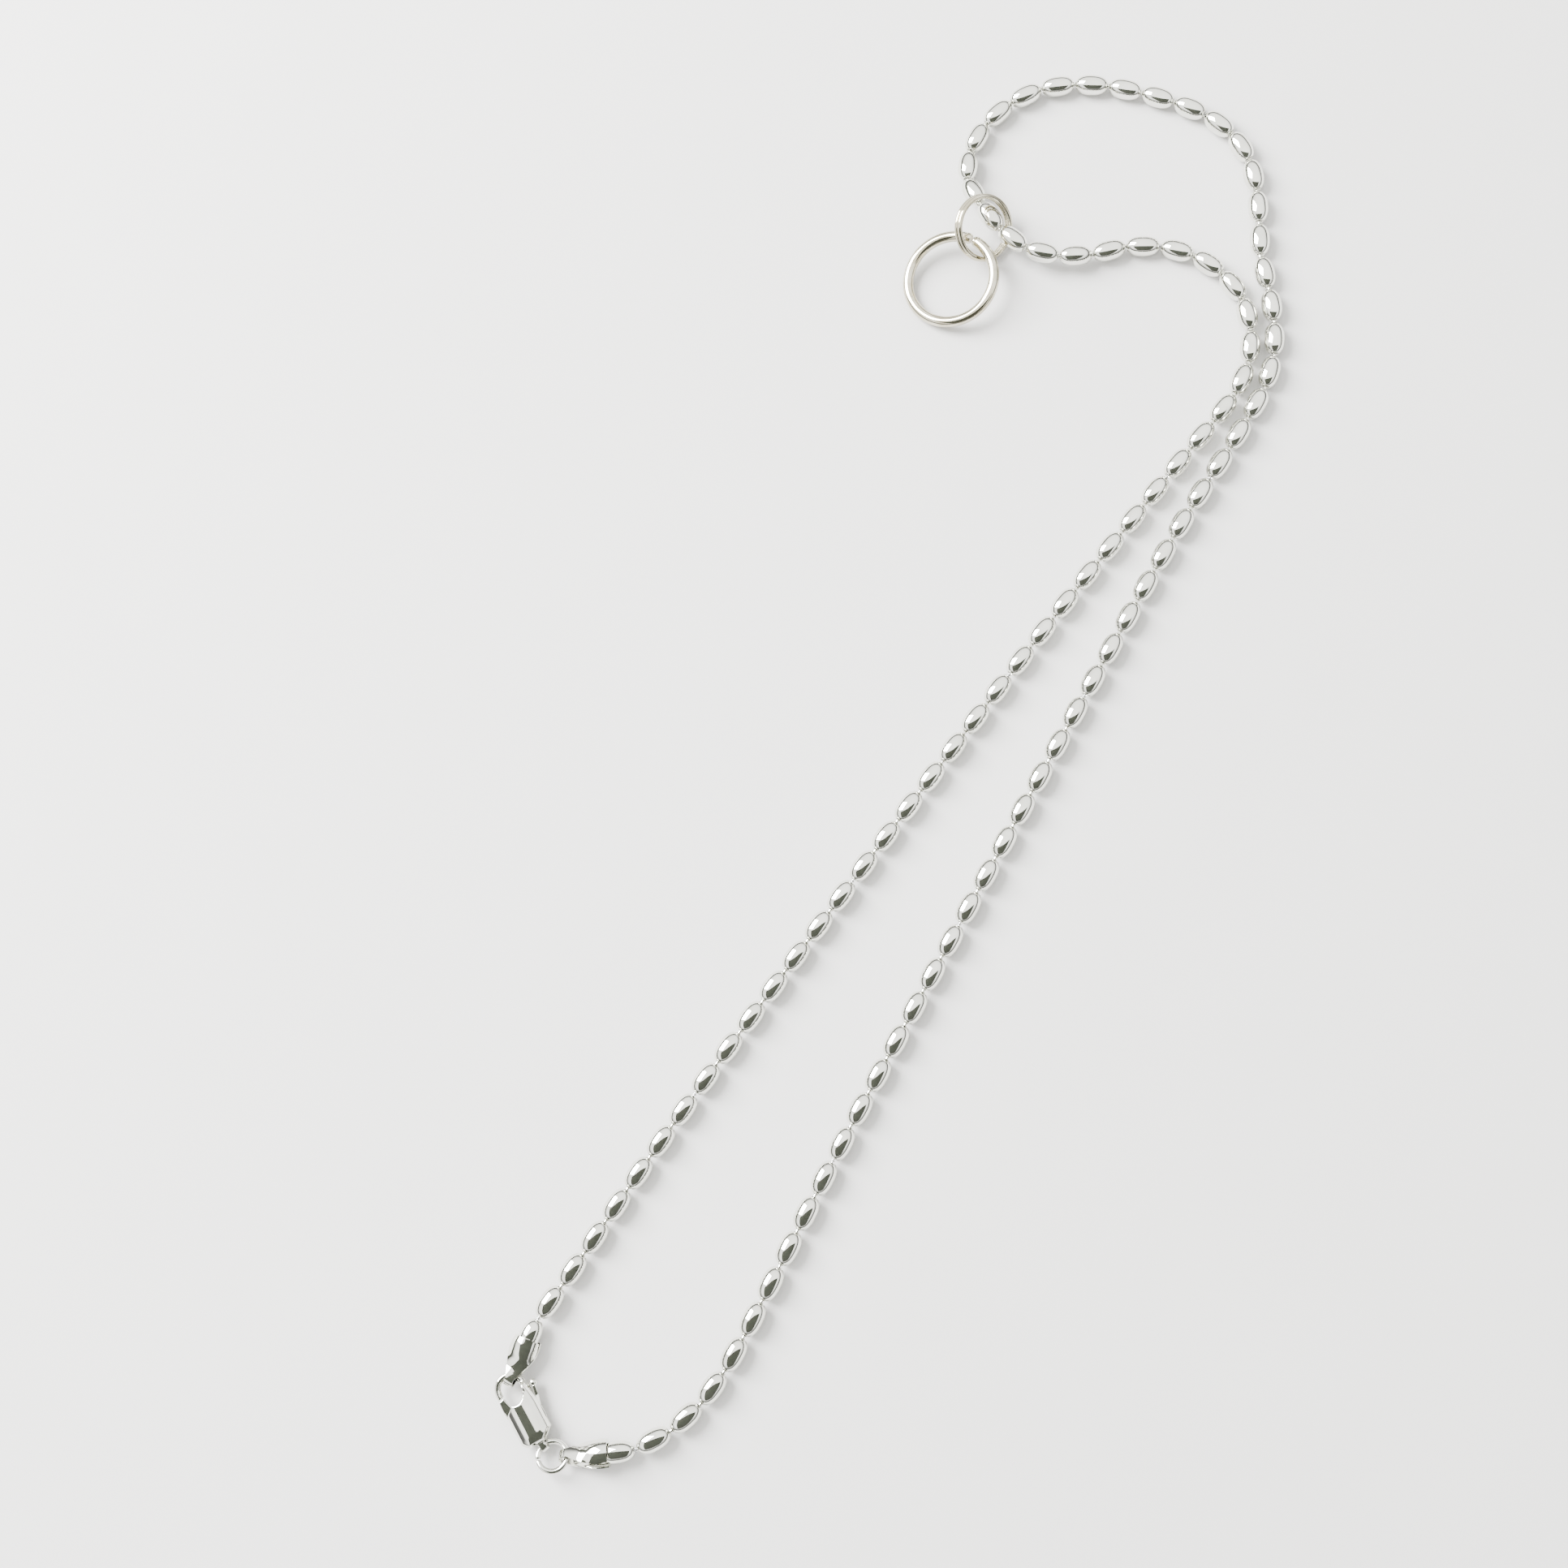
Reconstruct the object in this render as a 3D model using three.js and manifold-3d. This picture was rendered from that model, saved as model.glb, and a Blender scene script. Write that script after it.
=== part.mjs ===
// A bead-chain eyeglass retainer: a closed necklace of oval beads with a lobster clasp, a jump ring,
// two folded end caps, and a split ring that carries a larger ring for the temple of the glasses.
// Millimetres. +Z is up, and the necklace lies on the plane z = 0 with its long way along Y.
import * as THREE from "three";
import { mergeVertices } from "three/addons/utils/BufferGeometryUtils.js";
import Module from "manifold-3d";

const wasm = await Module();
wasm.setup();

// ---------------------------------------------------------------- driving dimensions

const BEAD_RADIUS = 1.4;
const BEAD_HALF_LENGTH = 2.2;
const BEAD_END_RADIUS = 0.62;
const BEAD_SHOULDER = 0.85; // half the length of the bead's widest stretch
const BEAD_COUNT = 97; // with the one in each end cap
const LOOSE_FIRST = 34; // from this bead to LOOSE_LAST the links are pushed together
const LOOSE_LAST = 56;
const LOOSE_SLACK = 0.17;

const LINK_RADIUS = 0.3; // the thin neck between two beads of one run
const PIN_WIRE_RADIUS = 0.18;
const PIN_HEAD_RADIUS = 0.45;
const PIN_HEAD_DEPTH = 0.775; // the head's middle, behind the bead's end face
const SOCKET_HOLE_RADIUS = 0.36;
const SOCKET_WALL = 0.25;
const SOCKET_DEPTH = 1.7;

const CAP_LENGTH = 6.5;
const CAP_STRIP = 0.24; // thickness of the folded strip
const CAP_EYE_RADIUS = 0.95; // to the middle of the strip, where it folds round a ring
const CAP_HEIGHT = 1.75; // of the end caps' axis

const CLASP_HEIGHT = 1.65; // of the clasp's middle plane, so that its body lies on z = 0
const JUMP_RADIUS = 1.89;
const JUMP_WIRE = 0.36;
const SPLIT_RADIUS = 4.3;
const SPLIT_WIRE = 0.34;
const SPLIT_RISE = 0.78; // from one coil to the next
const TEMPLE_RADIUS = 6.2;
const TEMPLE_WIRE = 0.76;

const LIE = BEAD_RADIUS; // height of the chain's middle line where it lies flat
const UP = new THREE.Vector3(0, 0, 1);

// The middle line of the chain, from the hook's end cap round the head loop to the ring's end cap.
const ROUTE = [
  [-24.1, -90.8, CAP_HEIGHT],
  [-23.7, -86.3, CAP_HEIGHT],
  [-22.0, -80.0, 1.5],
  [-17.2, -61.6, LIE],
  [-8.8, -33.1, LIE],
  [9.3, 24.0, LIE],
  [19.2, 52.2, LIE],
  [22.6, 61.5, LIE],
  [23.2, 66.5, LIE],
  [22.0, 71.5, LIE],
  [19.7, 75.5, LIE],
  [16.0, 78.4, LIE],
  [9.4, 80.2, LIE],
  [2.0, 78.7, LIE],
  [-2.1, 76.0, 1.6],
  [-6.0, 74.0, 2.7],
  [-10.4, 73.4, 3.1],
  [-14.9, 74.9, 3.0],
  [-19.1, 78.0, 3.0],
  [-22.6, 81.4, 1.95],
  [-23.9, 86.2, LIE],
  [-22.5, 92.4, LIE],
  [-17.8, 98.1, LIE],
  [-10.3, 101.1, LIE],
  [-1.3, 101.7, LIE],
  [7.2, 100.7, LIE],
  [13.0, 97.3, LIE],
  [16.7, 91.4, LIE],
  [20.0, 82.2, LIE],
  [23.8, 75.6, LIE],
  [26.4, 66.9, LIE],
  [25.3, 58.4, LIE],
  [21.8, 43.4, LIE],
  [18.2, 23.8, LIE],
  [6.2, -49.8, LIE],
  [2.9, -74.3, LIE],
  [1.3, -84.2, LIE],
  [-1.3, -91.2, LIE],
  [-6.1, -96.8, CAP_HEIGHT],
  [-10.2, -98.9, CAP_HEIGHT],
].map((point) => new THREE.Vector3(...point));

const route = new THREE.CatmullRomCurve3(ROUTE, false, "centripetal");
route.arcLengthDivisions = 4000;

// ---------------------------------------------------------------- helpers

const SILVER = { color: 0xe9e8e4, roughness: 0.12, metalness: 1 };
const WARM_SILVER = { color: 0xdcd6c6, roughness: 0.2, metalness: 1 };
const STEEL = { color: 0xb9b9b6, roughness: 0.35, metalness: 1 };

const group = new THREE.Group();

function addPiece(name, geometry, finish, parent = group) {
  const mesh = new THREE.Mesh(geometry, new THREE.MeshStandardMaterial(finish));
  mesh.name = name;
  parent.add(mesh);
  return mesh;
}

// A closed geometry as a solid that can be joined and cut.
function solidOf(geometry) {
  const bare = geometry.clone();
  bare.deleteAttribute("normal");
  bare.deleteAttribute("uv");
  const merged = mergeVertices(bare, 1e-4);
  return new wasm.Manifold(
    new wasm.Mesh({
      numProp: 3,
      vertProperties: new Float32Array(merged.attributes.position.array),
      triVerts: new Uint32Array(merged.index.array),
    }),
  );
}

function geometryOf(solid) {
  const mesh = solid.getMesh();
  const geometry = new THREE.BufferGeometry();
  geometry.setAttribute("position", new THREE.BufferAttribute(mesh.vertProperties, 3));
  geometry.setIndex(new THREE.BufferAttribute(mesh.triVerts, 1));
  geometry.computeVertexNormals();
  return geometry;
}

function cut(geometry, tools) {
  const remains = tools.reduce((solid, tool) => solid.subtract(solidOf(tool)), solidOf(geometry));
  return geometryOf(remains);
}

function join(geometries) {
  return geometryOf(geometries.map(solidOf).reduce((all, one) => all.add(one)));
}

// Skins a row of outlines, each a list of as many points, into one closed solid.
function loft(outlines) {
  const sides = outlines[0].length;
  const points = outlines.flat();
  const faces = [];
  for (let i = 0; i + 1 < outlines.length; i++) {
    for (let j = 0; j < sides; j++) {
      const a = i * sides + j;
      const b = i * sides + ((j + 1) % sides);
      faces.push(a, b, b + sides, a, b + sides, a + sides);
    }
  }
  const last = (outlines.length - 1) * sides;
  for (let j = 1; j + 1 < sides; j++) {
    faces.push(0, j + 1, j);
    faces.push(last, last + j, last + j + 1);
  }
  const geometry = new THREE.BufferGeometry().setFromPoints(points);
  geometry.setIndex(faces);
  geometry.computeVertexNormals();
  return geometry;
}

// A round outline whose flat sides touch the circle of the given radius, with one side facing down.
function roundOutline(centre, direction, radius, sides = 8) {
  const up = UP.clone().addScaledVector(direction, -direction.z).normalize();
  const side = new THREE.Vector3().crossVectors(up, direction);
  const reach = radius / Math.cos(Math.PI / sides);
  return Array.from({ length: sides }, (_, i) => {
    const angle = ((i + 0.5) / sides) * 2 * Math.PI;
    return centre
      .clone()
      .addScaledVector(side, reach * Math.cos(angle))
      .addScaledVector(up, reach * Math.sin(angle));
  });
}

function turned(profile, segments = 10) {
  return new THREE.LatheGeometry(
    profile.map((point) => new THREE.Vector2(...point)),
    segments,
  );
}

// Stands a turned piece, made along Y, at a point with its Y along the direction.
function stand(geometry, point, direction) {
  const turn = new THREE.Quaternion().setFromUnitVectors(new THREE.Vector3(0, 1, 0), direction);
  return geometry.clone().applyQuaternion(turn).translate(point.x, point.y, point.z);
}

function circleShape(radius, sides) {
  const corners = Array.from({ length: sides }, (_, i) => {
    const angle = ((i + 0.5) / sides) * 2 * Math.PI;
    return new THREE.Vector2(radius * Math.cos(angle), radius * Math.sin(angle));
  });
  return new THREE.Shape(corners);
}

// ---------------------------------------------------------------- chain

// The middle of each link, from one end of the chain to the other: bead k lies between links k and k + 1.
function linkPoints() {
  const length = route.getLength();
  const loose = LOOSE_LAST - LOOSE_FIRST + 1;
  const pitch = (length + loose * LOOSE_SLACK) / BEAD_COUNT;
  const points = [route.getPointAt(0)];
  let along = 0;
  for (let k = 0; k < BEAD_COUNT; k++) {
    const isLoose = k >= LOOSE_FIRST && k <= LOOSE_LAST;
    along += isLoose ? pitch - LOOSE_SLACK : pitch;
    points.push(route.getPointAt(Math.min(along / length, 1)));
  }
  return points;
}

const links = linkPoints();

function beadMiddle(k) {
  return links[k].clone().add(links[k + 1]).multiplyScalar(0.5);
}

function beadDirection(k) {
  return links[k + 1].clone().sub(links[k]).normalize();
}

function beadOutlines(k, sides) {
  const stations = [
    [-BEAD_HALF_LENGTH, BEAD_END_RADIUS],
    [-BEAD_SHOULDER, BEAD_RADIUS],
    [BEAD_SHOULDER, BEAD_RADIUS],
    [BEAD_HALF_LENGTH, BEAD_END_RADIUS],
  ];
  const direction = beadDirection(k);
  return stations.map(([along, radius]) => {
    const centre = beadMiddle(k).addScaledVector(direction, along);
    return roundOutline(centre, direction, radius, sides);
  });
}

// A stretch of beads from first to last, joined by their links.
function beadRun(first, last) {
  const outlines = beadOutlines(first);
  for (let k = first + 1; k <= last; k++) {
    const across = beadDirection(k - 1).add(beadDirection(k)).normalize();
    outlines.push(roundOutline(links[k], across, LINK_RADIUS));
    outlines.push(...beadOutlines(k));
  }
  return loft(outlines);
}

// The hollow in a bead's end that holds a pin's head, as a tool whose Y runs into the bead from its end face.
const socketTool = turned(
  [
    [0, -0.2],
    [SOCKET_HOLE_RADIUS, -0.2],
    [SOCKET_HOLE_RADIUS, SOCKET_WALL],
    [0.6, SOCKET_WALL],
    [0.98, 1.0],
    [0.98, SOCKET_DEPTH],
    [0, SOCKET_DEPTH],
  ],
  8,
);

// The socket at the start or the end of bead k.
function socket(k, atEnd) {
  const inward = beadDirection(k).multiplyScalar(atEnd ? -1 : 1);
  const face = beadMiddle(k).addScaledVector(inward, -BEAD_HALF_LENGTH);
  return stand(socketTool, face, inward);
}

// A headed pin between two beads, centred on their link.
function linkPin(k) {
  const reach = links[k].distanceTo(beadMiddle(k)) - BEAD_HALF_LENGTH + PIN_HEAD_DEPTH;
  const bulge = 0.7 * PIN_HEAD_RADIUS;
  const half = [
    [0, reach + PIN_HEAD_RADIUS],
    [bulge, reach + bulge],
    [PIN_HEAD_RADIUS, reach],
    [PIN_WIRE_RADIUS, reach - PIN_HEAD_RADIUS],
  ];
  const lower = half.map(([radius, along]) => [radius, -along]);
  return turned([...lower, ...half.reverse()], 6);
}

function addLinkPin(name, k) {
  const pin = addPiece(name, linkPin(k), STEEL);
  const across = beadDirection(k - 1).add(beadDirection(k)).normalize();
  pin.position.copy(links[k]);
  pin.quaternion.setFromUnitVectors(new THREE.Vector3(0, 1, 0), across);
}

// Each run of beads: its name, and its first and last bead.
const RUNS = [
  ["beads_hook_side_1", 1, 7],
  ["beads_hook_side_2", 8, 14],
  ["beads_hook_side_3", 15, 21],
  ["beads_hook_side_4", 22, 28],
  ["beads_loop_inner", 29, 37],
  ["beads_ring_loop", 38, 53],
  ["beads_loop_outer", 54, 65],
  ["beads_ring_side_4", 66, 72],
  ["beads_ring_side_3", 73, 79],
  ["beads_ring_side_2", 80, 86],
  ["beads_ring_side_1", 87, 95],
];

for (const [name, first, last] of RUNS) {
  addPiece(name, cut(beadRun(first, last), [socket(first, false), socket(last, true)]), SILVER);
  addLinkPin(`link_pin_${first}`, first);
}
addLinkPin(`link_pin_${BEAD_COUNT - 1}`, BEAD_COUNT - 1);

// The beads that the end caps grip, each with a socket on its free end.
const GRIPPED_SIDES = 12;
addPiece("end_bead_hook_side", cut(loft(beadOutlines(0, GRIPPED_SIDES)), [socket(0, true)]), SILVER);
addPiece(
  "end_bead_ring_side",
  cut(loft(beadOutlines(BEAD_COUNT - 1, GRIPPED_SIDES)), [socket(BEAD_COUNT - 1, false)]),
  SILVER,
);

// ---------------------------------------------------------------- end caps

// The upper leaf of an end cap, from its mouth to its fold: distance along the cap, height of the
// strip's middle, width of the strip, and radius of the trough that it is pressed into.
const CAP_EYE_CENTRE = CAP_LENGTH - CAP_EYE_RADIUS - CAP_STRIP / 2;
const CAP_LEAF = [
  [0, 1.66, 3.2, 1.7],
  [1.1, 1.68, 3.5, 1.84],
  [2.1, 1.46, 3.5, 1.9],
  [3.0, 1.08, 3.0, 2.2],
  [3.8, 0.86, 2.4, 2.8],
  [4.7, 0.88, 1.7, 4.0],
];
const CAP_FOLD_STEPS = 8;

function capStations() {
  const leaf = CAP_LEAF.map(([along, height, width, trough]) => ({ along, height, width, trough }));
  const fold = Array.from({ length: CAP_FOLD_STEPS + 1 }, (_, i) => {
    const angle = Math.PI / 2 - (i / CAP_FOLD_STEPS) * Math.PI;
    return {
      along: CAP_EYE_CENTRE + CAP_EYE_RADIUS * Math.cos(angle),
      height: CAP_EYE_RADIUS * Math.sin(angle),
      width: 1.15,
      trough: 8,
    };
  });
  const lower = leaf.map((station) => ({ ...station, height: -station.height })).reverse();
  return [...leaf, ...fold, ...lower];
}

// The outline of the strip at one station: its outer face from edge to edge, then its inner face back.
function stripOutline(stations, i) {
  const before = stations[Math.max(i - 1, 0)];
  const after = stations[Math.min(i + 1, stations.length - 1)];
  const { along, height, width, trough } = stations[i];
  const run = new THREE.Vector2(after.along - before.along, after.height - before.height).normalize();
  const outward = new THREE.Vector2(-run.y, run.x);
  const face = (share, offset) => {
    const y = (share * width) / 2;
    const drop = trough - Math.sqrt(trough * trough - y * y);
    const lean = Math.asin(y / trough);
    const depth = offset * Math.cos(lean) - drop;
    return new THREE.Vector3(along + outward.x * depth, y + offset * Math.sin(lean), height + outward.y * depth);
  };
  const shares = [-1, -0.55, 0, 0.55, 1];
  const inner = shares.map((share) => face(share, -CAP_STRIP / 2));
  const outer = [...shares].reverse().map((share) => face(share, CAP_STRIP / 2));
  return [...inner, ...outer];
}

function capGeometry() {
  const stations = capStations();
  return loft(stations.map((_, i) => stripOutline(stations, i)));
}

// Places an end cap with its fold round the eye point, its mouth towards the given point, rolled
// about its own length.
function addEndCap(name, eye, mouth, rollDegrees) {
  const cap = addPiece(name, capGeometry(), SILVER);
  const length = eye.clone().sub(mouth).normalize();
  const across = new THREE.Vector3().crossVectors(UP, length).normalize();
  const height = new THREE.Vector3().crossVectors(length, across);
  const frame = new THREE.Matrix4().makeBasis(length, across, height);
  cap.quaternion.setFromRotationMatrix(frame);
  cap.rotateX(THREE.MathUtils.degToRad(rollDegrees));
  cap.position.copy(eye).addScaledVector(length, -CAP_EYE_CENTRE);
}

const HOOK_EYE = new THREE.Vector3(-24.2, -94.1, CAP_HEIGHT);
const JUMP_EYE = new THREE.Vector3(-13.83, -100.53, CAP_HEIGHT);
const RING_CAP_ROLL = 36;

addEndCap("end_cap_hook_side", HOOK_EYE, beadMiddle(0), 0);
addEndCap("end_cap_ring_side", JUMP_EYE, beadMiddle(BEAD_COUNT - 1), RING_CAP_ROLL);

// ---------------------------------------------------------------- rings

// A coil of wire about Z: radius, angle of its first end, angle that it turns through, rise of one turn.
class CoilCurve extends THREE.Curve {
  constructor(radius, startDegrees, turnDegrees, rise) {
    super();
    Object.assign(this, { radius, startDegrees, turnDegrees, rise });
  }

  getPoint(share, target = new THREE.Vector3()) {
    const angle = THREE.MathUtils.degToRad(this.startDegrees + share * this.turnDegrees);
    const height = this.rise * (share - 0.5) * (this.turnDegrees / 360);
    return target.set(this.radius * Math.cos(angle), this.radius * Math.sin(angle), height);
  }
}

function wireRing(curve, wireRadius, steps, sides = 8) {
  return new THREE.ExtrudeGeometry(circleShape(wireRadius, sides), { steps, extrudePath: curve });
}

// Lays a ring about Z at a point, tilted so that its highest place lies in the given direction.
function placeRing(ring, centre, tiltDegrees, highDegrees) {
  ring.position.copy(centre);
  ring.rotation.order = "ZYX";
  ring.rotation.z = THREE.MathUtils.degToRad(highDegrees);
  ring.rotation.y = -THREE.MathUtils.degToRad(tiltDegrees);
}

const JUMP_CENTRE = new THREE.Vector3(-15.66, -101.14, 1.7);
const JUMP_TILT = 14;
const jumpRing = wireRing(new CoilCurve(JUMP_RADIUS, -70, 354, 0), JUMP_WIRE, 24);
placeRing(addPiece("jump_ring", jumpRing, SILVER), JUMP_CENTRE, JUMP_TILT, -72);

const SPLIT_CENTRE = new THREE.Vector3(-17.66, 74.47, 3.9);
const SPLIT_TILT = 44.4;
const splitRing = wireRing(new CoilCurve(SPLIT_RADIUS, 150, 715, SPLIT_RISE), SPLIT_WIRE, 48);
placeRing(addPiece("split_ring", splitRing, WARM_SILVER), SPLIT_CENTRE, SPLIT_TILT, 163.5);

const TEMPLE_CENTRE = new THREE.Vector3(-19.86, 66.52, 2.28);
const TEMPLE_TILT = 13;
const templeRing = wireRing(new CoilCurve(TEMPLE_RADIUS, 36, 356, 0), TEMPLE_WIRE, 36);
placeRing(addPiece("temple_ring", templeRing, WARM_SILVER), TEMPLE_CENTRE, TEMPLE_TILT, 44);

// ---------------------------------------------------------------- clasp

// The clasp's own frame: its origin is the top of the hook, +Y runs from the tail to the hook, and z = 0
// is its middle plane.
const clasp = new THREE.Group();
clasp.position.set(-25.19, -93.6, CLASP_HEIGHT);
clasp.rotation.z = THREE.MathUtils.degToRad(50);
group.add(clasp);

const BODY_LEFT = -2.45;
const BODY_RIGHT = 2.05;
const BODY_TOP = -2.2;
const BODY_BOTTOM = -9.95;
const BODY_HALF_THICKNESS = CLASP_HEIGHT;
const BODY_SLOPE = 1.1; // width of the sloping faces round the body's flat top and underside
const BODY_SLOPE_HEIGHT = 0.85;
const PIVOT = new THREE.Vector2(-0.5, -7.3);
const LEVER_HALF_THICKNESS = 0.45;
const LEVER_GAP = 0.12;
const LEVER_SWING = 24;
const HOOK_HALF_THICKNESS = 0.52;
const GATE_REACH = 4.73; // from the pivot to the gate's tip
const PIN_RADIUS = 0.32;
const PIN_HALF_LENGTH = 1.0;

// An outline extruded about the middle plane, with its two faces drawn in by sloping edges.
function plate(points, halfThickness, slope = 0, slopeHeight = 0) {
  const geometry = new THREE.ExtrudeGeometry(new THREE.Shape(points), {
    depth: 2 * (halfThickness - slopeHeight),
    bevelEnabled: slope > 0,
    bevelThickness: slopeHeight,
    bevelSize: slope,
    bevelOffset: -slope,
    bevelSegments: 2,
  });
  return geometry.translate(0, 0, slopeHeight - halfThickness);
}

function disc(centre, radius, halfThickness, segments = 20) {
  const geometry = new THREE.CylinderGeometry(radius, radius, 2 * halfThickness, segments);
  return geometry.rotateX(Math.PI / 2).translate(centre.x, centre.y, 0);
}

const vectors = (pairs) => pairs.map(([x, y]) => new THREE.Vector2(x, y));

function claspBodyBlock() {
  return plate(
    vectors([
      [BODY_LEFT, BODY_TOP],
      [BODY_LEFT, BODY_BOTTOM + 0.8],
      [BODY_LEFT + 0.85, BODY_BOTTOM],
      [BODY_RIGHT - 1.3, BODY_BOTTOM],
      [BODY_RIGHT, BODY_BOTTOM + 1.2],
      [BODY_RIGHT, -4.9],
      [BODY_RIGHT - 0.3, BODY_TOP],
    ]),
    BODY_HALF_THICKNESS,
    BODY_SLOPE,
    BODY_SLOPE_HEIGHT,
  );
}

// The round lower end of the hook's opening, and the corner cut away beside the gate.
function openingTools() {
  const opening = new THREE.CylinderGeometry(1, 1, 4, 32).rotateX(Math.PI / 2);
  opening.scale(1.45, 1.9, 1).translate(-0.28, -2.6, 0);
  const corner = plate(
    vectors([
      [-3, -2],
      [-3, -5.2],
      [-2.3, -5.05],
      [-1.3, -4.45],
      [-1.05, -4.2],
      [-1.05, -2],
    ]),
    2,
  );
  return [opening, corner];
}

// The hook, a bar that rises from the body's right side and curls over to the left.
function claspHook() {
  const line = new THREE.CatmullRomCurve3(
    [
      [1.42, -5.4],
      [1.5, -4.0],
      [1.45, -2.5],
      [1.05, -1.3],
      [0.3, -0.58],
      [-0.65, -0.42],
      [-1.5, -0.75],
      [-2.02, -1.45],
      [-2.16, -2.3],
      [-2.12, -3.1],
    ].map(([x, y]) => new THREE.Vector3(x, y, 0)),
  );
  const steps = 18;
  const outlines = [];
  for (let i = 0; i <= steps; i++) {
    const point = line.getPointAt(i / steps);
    const along = line.getTangentAt(i / steps);
    const across = new THREE.Vector3().crossVectors(UP, along);
    const halfWidth = THREE.MathUtils.lerp(0.5, 0.42, i / steps);
    outlines.push(
      Array.from({ length: 8 }, (_, j) => {
        const angle = ((j + 0.5) / 8) * 2 * Math.PI;
        return point
          .clone()
          .addScaledVector(across, halfWidth * 1.08 * Math.cos(angle))
          .addScaledVector(UP, HOOK_HALF_THICKNESS * 1.08 * Math.sin(angle));
      }),
    );
  }
  return loft(outlines);
}

// The tail, a flat eye that holds the jump ring.
const TAIL_EYE = new THREE.Vector3(-0.09, -10.32, -0.27);
const TAIL_TURN = 13;
const TAIL_WIDTH = 1.0;

function claspTail() {
  const neck = new THREE.BoxGeometry(TAIL_WIDTH, 1.2, 1.3).translate(TAIL_EYE.x, TAIL_EYE.y + 0.8, TAIL_EYE.z * 0.7);
  const eye = new THREE.CylinderGeometry(0.86, 0.86, TAIL_WIDTH, 16).rotateZ(Math.PI / 2);
  eye.rotateZ(THREE.MathUtils.degToRad(TAIL_TURN)).translate(TAIL_EYE.x, TAIL_EYE.y, TAIL_EYE.z);
  return join([neck, eye]);
}

function tailHole() {
  const hole = new THREE.CylinderGeometry(0.55, 0.55, 1.6, 12).rotateZ(Math.PI / 2);
  return hole.rotateZ(THREE.MathUtils.degToRad(TAIL_TURN)).translate(TAIL_EYE.x, TAIL_EYE.y, TAIL_EYE.z);
}

// The lever: a gate on the left that shuts the hook, a heel round the pivot, and a stem on the right that
// comes out of the body and carries the thumb nub.
const LEVER_OUTLINE = [
  [-2.5, -3.05],
  [-1.8, -2.8],
  [-1.6, -3.6],
  [-1.3, -4.6],
  [-0.45, -5.9],
  [0.7, -6.2],
  [1.6, -5.5],
  [1.95, -4.7],
  [2.25, -3.3],
  [2.65, -3.3],
  [2.42, -4.7],
  [2.15, -5.8],
  [1.5, -6.7],
  [0.5, -7.6],
  [-0.3, -8.0],
  [-1.0, -7.9],
  [-1.25, -7.2],
  [-1.75, -6.3],
  [-2.55, -5.3],
  [-2.6, -4.2],
];
const NUB = new THREE.Vector3(2.5, -2.9, 0);
const NUB_RADIUS = 0.52;

function leverPlate(grow) {
  const geometry = new THREE.ExtrudeGeometry(new THREE.Shape(vectors(LEVER_OUTLINE)), {
    depth: 2 * LEVER_HALF_THICKNESS,
    bevelEnabled: grow > 0,
    bevelThickness: grow,
    bevelSize: grow,
    bevelSegments: 1,
  });
  return geometry.translate(0, 0, -LEVER_HALF_THICKNESS);
}

function claspTrigger() {
  const nub = new THREE.SphereGeometry(NUB_RADIUS, 10, 8).translate(NUB.x, NUB.y, NUB.z);
  return cut(join([leverPlate(0), nub]), [disc(PIVOT, PIN_RADIUS + 0.08, 2, 14)]);
}

// The room that the lever sweeps inside the body, as the lever at a few steps of its swing.
function leverRoom() {
  const grown = leverPlate(LEVER_GAP);
  return [0, 0.25, 0.5, 0.75, 1].map((share) => {
    const turn = -THREE.MathUtils.degToRad(LEVER_SWING * share);
    return grown
      .clone()
      .translate(-PIVOT.x, -PIVOT.y, 0)
      .rotateZ(turn)
      .translate(PIVOT.x, PIVOT.y, 0);
  });
}

const SPRING_ROOM = new THREE.BoxGeometry(2.2, 1.0, 1.1).translate(0.35, -8.55, 0);

function claspBody() {
  const block = cut(claspBodyBlock(), openingTools());
  const solid = join([block, claspHook(), claspTail()]);
  const tipRoom = disc(PIVOT, GATE_REACH + 0.15, 2, 48);
  const gateSide = new THREE.BoxGeometry(1.6, 1.6, 3).translate(-2.3, -3.45, 0);
  const tipCut = geometryOf(solidOf(tipRoom).intersect(solidOf(gateSide)));
  return cut(solid, [
    ...leverRoom(),
    tipCut,
    SPRING_ROOM,
    tailHole(),
    disc(PIVOT, PIN_RADIUS + 0.06, PIN_HALF_LENGTH + 0.1, 14),
  ]);
}

addPiece("clasp_body", claspBody(), SILVER, clasp);
addPiece("clasp_trigger", claspTrigger(), SILVER, clasp);
addPiece("clasp_pivot_pin", disc(PIVOT, PIN_RADIUS, PIN_HALF_LENGTH, 12), STEEL, clasp);

// The return spring, a folded leaf in the body's lower end.
function claspSpring() {
  const leaf = 0.16;
  return plate(
    vectors([
      [-0.65, -8.95],
      [1.35, -8.95],
      [1.35, -8.95 + leaf],
      [-0.4, -8.95 + leaf],
      [-0.4, -8.62],
      [1.0, -8.45],
      [1.0, -8.45 + leaf],
      [-0.65, -8.5],
    ]),
    0.4,
  );
}

addPiece("clasp_spring", claspSpring(), STEEL, clasp);

export default group;
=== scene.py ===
import math

import bmesh
import bpy
import numpy as np
from mathutils import Matrix, Vector


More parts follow.
